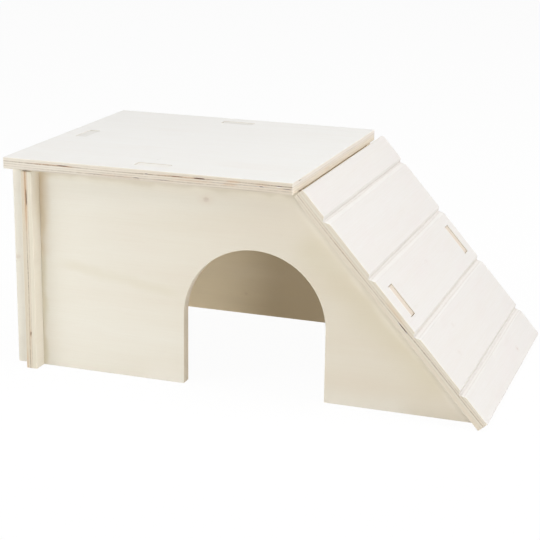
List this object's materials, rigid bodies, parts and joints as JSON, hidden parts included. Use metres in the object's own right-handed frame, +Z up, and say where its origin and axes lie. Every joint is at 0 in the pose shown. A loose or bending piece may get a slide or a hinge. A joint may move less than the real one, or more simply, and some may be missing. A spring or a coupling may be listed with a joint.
{
  "type": "hamster house",
  "caption": "Flat-roofed plywood house for a hamster with a round-topped doorway and a grooved ramp up to its roof; its panels plug together with through tenons.",
  "frame": {"origin": "on the floor, under the middle of the whole footprint, ramp included", "axes": "+X along the front towards the ramp's foot, +Y from the doorway wall to the back wall, +Z up"},
  "size_m": [0.2814, 0.1618, 0.1245],
  "materials": {
    "plywood": "bare sanded five-ply board with visible glue lines along its edges"
  },
  "bodies": {
    "walls": {"front_wall": "plywood", "back_wall": "plywood", "side_wall": "plywood"},
    "roof": {"roof_panel": "plywood"},
    "ramp": {"ramp_panel": "plywood"}
  },
  "joints": [
    {"name": "roof_lift", "type": "slide", "parent": "walls", "child": "roof", "axis": [0, 0, 1], "range_m": [0, 0.06]},
    {"name": "ramp_lift", "type": "slide", "parent": "walls", "child": "ramp", "axis": [0.7466, 0, 0.6652], "range_m": [0, 0.06]}
  ]
}
